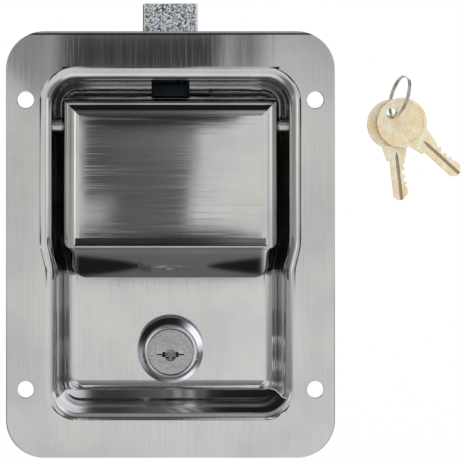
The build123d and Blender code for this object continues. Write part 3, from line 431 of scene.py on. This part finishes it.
low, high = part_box("bolt_spring")
spring_length = high.z - low.z
spring_radius = (high.x - low.x - SPRING_WIRE) / 2
spring_centre = (low + high) / 2
steps = SPRING_TURNS * STEPS_PER_TURN
spring_curve = bpy.data.curves.new("bolt_spring_coil", "CURVE")
spring_curve.dimensions = "3D"
spring_curve.bevel_depth = SPRING_WIRE / 2
spring_curve.bevel_resolution = 4
spring_curve.use_fill_caps = True
coil = spring_curve.splines.new("POLY")
coil.points.add(steps)
for index, point in enumerate(coil.points):
    share = index / steps
    turn = tau * SPRING_TURNS * share
    lift = share - END_CROWDING * sin(tau * share)
    point.co = (
        spring_centre.x + spring_radius * cos(turn),
        spring_centre.y + spring_radius * sin(turn),
        low.z + SPRING_WIRE / 2 + lift * (spring_length - SPRING_WIRE),
        1,
    )
shape = bpy.data.objects.new("coil_shape", spring_curve)
bpy.context.collection.objects.link(shape)
bpy.context.view_layer.update()
mesh = bpy.data.meshes.new_from_object(shape.evaluated_get(bpy.context.evaluated_depsgraph_get()))
bpy.data.objects.remove(shape)
for polygon in mesh.polygons:
    polygon.use_smooth = True
mesh.materials.clear()
mesh.materials.append(materials["spring_steel"])
spring = bpy.data.objects.new("bolt_spring_coil", mesh)
bpy.context.collection.objects.link(spring)
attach(spring, "root")
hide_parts("bolt_spring")
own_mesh(spring)

# ------------------------------------------------------------------ world, and helpers for the stage
# The stage's meshes and tones are in millimetres. Only reflections see it.
world = bpy.data.worlds.new("studio")
bpy.context.scene.world = world
world.use_nodes = True
background = world.node_tree.nodes["Background"]
background.inputs["Color"].default_value = grey(1)
background.inputs["Strength"].default_value = 1.0


def rises(value, edge, width):
    """0 well below edge, 1 well above it, and soft over about width on each side."""
    return 1 / (1 + exp(-max(-40.0, min(40.0, (value - edge) / width))))


def drops(value, edge, width):
    return 1 - rises(value, edge, width)


def between(value, low, high, width):
    return rises(value, low, width) * drops(value, high, width)


def toward(value, other, share):
    return value + (other - value) * share


def tone_colour(value, blue=1.0):
    return (value, value, value * blue)


def even(value, blue):
    return lambda place: tone_colour(value, blue)


def steps_over(start, end, step):
    return [start + index * step for index in range(round((end - start) / step) + 1)]


def grid_mesh(name, rows):
    """A surface through rows of places."""
    count = len(rows[0])
    faces = [
        (corner, corner + 1, corner + 1 + count, corner + count)
        for row in range(len(rows) - 1)
        for corner in range(row * count, row * count + count - 1)
    ]
    mesh = bpy.data.meshes.new(name)
    mesh.from_pydata([(x * MM, y * MM, z * MM) for row in rows for x, y, z in row], [], faces)
    return mesh


def reflected(name, mesh, tone):
    """A stage object that only reflections see, lit at each point as tone says for its place."""
    layer = mesh.color_attributes.new("tone", "FLOAT_COLOR", "POINT")
    for index, vertex in enumerate(mesh.vertices):
        layer.data[index].color = (*tone(vertex.co / MM), 1)
    material = bpy.data.materials.new(name)
    material.use_nodes = True
    nodes, links = material.node_tree.nodes, material.node_tree.links
    nodes.remove(nodes["Principled BSDF"])
    emission = nodes.new("ShaderNodeEmission")
    attribute = nodes.new("ShaderNodeAttribute")
    attribute.attribute_name = "tone"
    links.new(attribute.outputs["Color"], emission.inputs["Color"])
    links.new(emission.outputs[0], nodes["Material Output"].inputs["Surface"])
    mesh.materials.append(material)
    thing = bpy.data.objects.new(name, mesh)
    bpy.context.collection.objects.link(thing)
    thing.visible_camera = False
    thing.visible_diffuse = False
    thing.visible_shadow = False
    thing.visible_transmission = False


def upright(name, across, up, y, step, tone):
    """A reflected card that faces the latch, from its spans and how deep it stands."""
    rows = [[(x, y, z) for x in steps_over(*across, step)] for z in steps_over(*up, step)]
    reflected(name, grid_mesh(name, rows), tone)


def level(name, across, deep, z, step, tone):
    """A reflected card that lies level, from its spans and its height."""
    rows = [[(x, y, z) for x in steps_over(*across, step)] for y in steps_over(*deep, step)]
    reflected(name, grid_mesh(name, rows), tone)


# ------------------------------------------------------------------ the studio behind the camera
def wall_tone(place):
    """Pale, with the photographer's dark shape: head and shoulders above, the body below, and the edge
    of the floor."""
    x, z = place.x, place.z
    tone = 0.79 + 0.05 * rises(x, 25, 12) + 0.06 * drops(z, -34, 6) - 0.08 * rises(abs(x), 84, 4)
    shoulder = 11 + 7 * rises(z, 28, 12)
    body = rises(x, -57.5, 0.5) * drops(x, shoulder, 2.2) * rises(z, -9, 1.6) * drops(z, 90, 3)
    corner = drops(x, -41 + 0.25 * (z - 5), 2.6) * drops(z, 15, 2.2)
    shade = 0.10 + 0.05 * rises(x, -30, 8) + 0.03 * rises(z, 45, 4) + 0.08 * rises(x, 2, 6) * rises(z, 40, 5)
    tone = toward(tone, toward(shade, 0.52, corner), body)
    arch = 61.5 + 8.5 * ((x + 10) / 58) ** 4
    collar = rises(z, arch, 0.9) * drops(z, 92, 4) * rises(x, -60, 2) * drops(x, 54, 3)
    tone = toward(tone, 0.035, collar)
    waist = -2.6 - 5.0 * max(0.0, (x - 20) / 30) ** 1.5
    hem = drops(z, waist, 1.3) * rises(z, -36, 2) * rises(x, -60, 1.5) * drops(x, 62, 2)
    tone = toward(tone, 0.13, hem)
    shaded_fold = drops(z, -8.6 - 0.03 * abs(x), 0.6) * rises(z, -36, 2) * rises(x, -54, 4) * drops(x, 50, 6)
    tone = toward(tone, 0.04, shaded_fold)
    tone = toward(tone, 0.066, between(x, -76, 34 + 0.12 * (z - 110), 2.0) * between(z, 84, 128, 2.0))
    slant = 96 - 1.1 * (x + 102)
    tone = toward(tone, 0.36, rises(z, max(62, slant), 2.5) * drops(z, 135, 3) * drops(x, -76, 4))
    band = between(x, -60, 62, 1.0) * between(z, 92, 99, 1.0)
    tone = toward(tone, 0.30 + 0.10 * rises(x, 30, 12), band)
    tone = toward(tone, 0.035 + 0.40 * rises(x, 45, 12), rises(z, 129, 1.5))
    tone = toward(tone, 0.23, between(x, 39, 60, 2.5) * between(z, 98, 135, 2.5))
    tone -= 0.16 * rises(z, 88, 8) * rises(x, 61, 2.5)
    return tone_colour(tone, 0.985)


upright("studio_wall", (-165, 165), (-120, 180), -500, 3.0, wall_tone)

# ------------------------------------------------------------------ the studio round the latch
DOME_RADIUS = 0.9
DOME_GROUND = (0.98, 0.98, 0.97)
ALL_ROUND = (-400, 400)
# each patch's colour, its span round the latch from the camera's side to the right, its span upwards, and
# how soft the edges of the two spans are
DOME_PATCHES = (
    # pale below
    ((0.765, 0.765, 0.765), ALL_ROUND, (-62, -9), 4, 4),
    ((0.84, 0.84, 0.83), (2, 60), (-40, -9), 4, 4),
    # a dim wall above the camera, with a cool window over it
    ((0.13, 0.13, 0.135), (-100, 60), (14, 34), 6, 1.5),
    ((0.30, 0.315, 0.345), (-100, 60), (29, 57), 6, 1.5),
    ((0.46, 0.48, 0.52), (4, 60), (29, 50), 3, 1.5),
    # the grey left side
    ((0.55, 0.55, 0.55), (-52, -19), (-4, 38), 3, 3),
    ((0.27, 0.27, 0.27), (-110, -50), (-4, 56), 3, 3),
    ((0.20, 0.20, 0.205), (-120, -21), (-48, -5), 4, 3),
    # the right side and its window
    ((0.80, 0.80, 0.80), (18, 40), (-8, 14), 3, 3),
    ((0.60, 0.60, 0.61), (40, 60), (-30, 20), 3, 3),
    ((1.02, 1.06, 1.14), (60, 82), (-2, 55), 2.5, 1.5),
    ((0.50, 0.51, 0.54), (82, 108), (-2, 55), 2.5, 1.5),
    ((0.16, 0.16, 0.17), (62, 130), (-60, -2), 4, 1.5),
    ((1.15, 1.22, 1.35), (25, 80), (24, 52), 4, 4),
    # a narrow warm strip lamp at the left
    ((1.75, 1.62, 1.42), (-37, -29), (-2, 12), 1, 2),
    # the dark ceiling
    ((0.06, 0.065, 0.07), ALL_ROUND, (58, 400), 4, 2),
)


def dome_tone(place):
    direction = place.normalized()
    up = degrees(asin(direction.z))
    turn = degrees(atan2(direction.x, -direction.y))
    tone = DOME_GROUND
    for colour, turns, ups, turn_width, up_width in DOME_PATCHES:
        share = between(turn, *turns, turn_width) * between(up, *ups, up_width)
        tone = tuple(toward(part, other, share) for part, other in zip(tone, colour))
    return tone


dome_mesh = bpy.data.meshes.new("studio_dome")
dome_shape = bmesh.new()
bmesh.ops.create_uvsphere(dome_shape, u_segments=144, v_segments=96, radius=DOME_RADIUS)
dome_shape.to_mesh(dome_mesh)
dome_shape.free()
reflected("studio_dome", dome_mesh, dome_tone)

# ------------------------------------------------------------------ cards close to the latch, in millimetres
CARD_ACROSS = (-36, 36)
CANOPY_HEIGHT = 58.3  # level with the edge of the top rim, where only the paddle's top bend reflects it
FOOT_HEIGHT = -49.8  # at the foot of the recess
FOOT_DEEP = (-2, 20)
STRIP_DEPTH = 20.4  # behind the top of the paddle
APRON_GAP = 4  # from the paddle's face forward to the card that only the bend above its lip sees
paddle_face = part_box("paddle")[0].y / MM


def canopy_tone(place):
    """Black near the latch, dim farther out and paler to the right."""
    far = drops(place.y, -17, 1.0)
    return tone_colour(0.012 + far * (0.10 + 0.35 * rises(place.x, 18, 6)), 1.03)


def foot_tone(place):
    """What the lip sees of the foot of the recess: dim, with dark ovals that narrow towards the middle,
    and pale at the front and at both ends."""
    x, y = place.x, place.y
    reach, tallest = ((-9.5 - x) / 25, 4.3) if x < 0 else ((x - 13.0) / 21, 3.5)
    half = tallest * max(0.0, min(1.0, reach)) ** 0.55
    oval = rises(half - abs(y - 13.4), 0.3, 0.22) if half else 0.0
    oval *= rises(x, -34.2, 0.3) * drops(x, 33.0, 0.3)
    value = toward(0.155 + 0.17 * drops(y, 7.5, 0.8), 0.014, oval)
    value += 0.75 * rises(x, 34.0, 0.4) + 0.22 * drops(x, -34.9, 0.3)
    return tone_colour(value, 1.04)


def under_tone(place):
    """What the bottom wall sees: dark, with a soft pale spot under the lock and a bright left corner."""
    x, y = place.x, place.y
    spot = exp(-(((x - 5.0) / 5.5) ** 2)) * (0.7 + 0.3 * cos(x * 1.3 + y * 0.5))
    glow = exp(-(((x + 6) / 7) ** 2))
    value = 0.055 - 0.042 * rises(x, 12, 3) + 0.36 * spot + 0.06 * glow + 0.9 * drops(x, -29.5, 1.0)
    return tone_colour(value, 1.05)


def strip_tone(place):
    """Pale behind the top of the paddle, and dark towards its corners."""
    return tone_colour(0.02 + 0.42 * between(place.x, -28.5, 31, 1.2))


def apron_tone(place):
    """Dark, and dim at its right end."""
    return tone_colour(0.04 + 0.16 * rises(place.x, 17, 4) * rises(place.z, -7, 1), 1.05)


level("studio_canopy", CARD_ACROSS, (-52, -0.5), CANOPY_HEIGHT, 1.5, canopy_tone)
level("studio_foot", CARD_ACROSS, FOOT_DEEP, FOOT_HEIGHT, 0.5, foot_tone)
level("studio_under", CARD_ACROSS, FOOT_DEEP, FOOT_HEIGHT - 0.2, 0.5, under_tone)
upright("studio_strip", (-36, 39), (43.5, 49.5), STRIP_DEPTH, 1.5, strip_tone)
upright("studio_apron", (-34, 34), (-12.05, 1.95), paddle_face - APRON_GAP, 0.5, apron_tone)

# ------------------------------------------------------------------ rings round the lock's head, in millimetres
RING_RADIUS = 11.15
SHELL_RADIUS = 11.4
SHELL_LEFT_RADIUS = 11.45
PAN_FLOOR = 20.6  # just in front of the floor of the recess
ANGLE_STEP = 3
head_low, head_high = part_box("lock_housing")
head_x = (head_low.x + head_high.x) / 2 / MM
head_z = (head_low.z + head_high.z) / 2 / MM


def ring(name, radius, deep, start, end, tone):
    """Part of a drum round the lock, from its radius, its depths and its angles."""
    angles = [radians(angle) for angle in range(start, end + 1, ANGLE_STEP)]
    rows = [[(head_x + radius * cos(a), y, head_z + radius * sin(a)) for a in angles] for y in deep]
    reflected(name, grid_mesh(name, rows), tone)


def ring_tone(place):
    """Dark over the head's left and top, and bright at its upper right and lower right."""
    angle = degrees(atan2(place.z - head_z, place.x - head_x)) % 360
    value = 0.42
    for tone, start, end, width in (
        (0.015, 58, 172, 5),
        (1.30, 8, 52, 4),
        (0.16, 325, 358, 4),
        (1.10, 292, 322, 4),
        (0.06, 215, 262, 6),
    ):
        value = toward(value, tone, between(angle, start, end, width))
    return tone_colour(value, 1.06)


# the ring shapes the head's shine, and the dim shell round it hides the head from the lip
ring("studio_ring", RING_RADIUS, (13.3, PAN_FLOOR), 0, 180, ring_tone)
ring("studio_ring_low", RING_RADIUS, (14.8, PAN_FLOOR), 180, 360, ring_tone)
ring("studio_shell_left", SHELL_LEFT_RADIUS, (10.9, 12.9), 126, 207, even(0.09, 1.05))
ring("studio_shell", SHELL_RADIUS, (11.8, PAN_FLOOR), 12, 168, even(0.15, 1.05))

# ------------------------------------------------------------------ plain white floor, below the latch
FLOOR_HALF = 1.6
FLOOR_HEIGHT = -0.160
floor_mesh = bpy.data.meshes.new("studio_floor")
corners = ((-1, -1), (1, -1), (1, 1), (-1, 1))
floor_mesh.from_pydata([(x * FLOOR_HALF, y * FLOOR_HALF, FLOOR_HEIGHT) for x, y in corners], [], [(0, 1, 2, 3)])
paper = bpy.data.materials.new("studio_floor")
paper.use_nodes = True
paper_shader = paper.node_tree.nodes["Principled BSDF"]
paper_shader.inputs["Base Color"].default_value = grey(1)
paper_shader.inputs["Roughness"].default_value = 1.0
paper_shader.inputs["Specular IOR Level"].default_value = 0.0
floor_mesh.materials.append(paper)
floor = bpy.data.objects.new("studio_floor", floor_mesh)
bpy.context.collection.objects.link(floor)
floor.visible_glossy = False
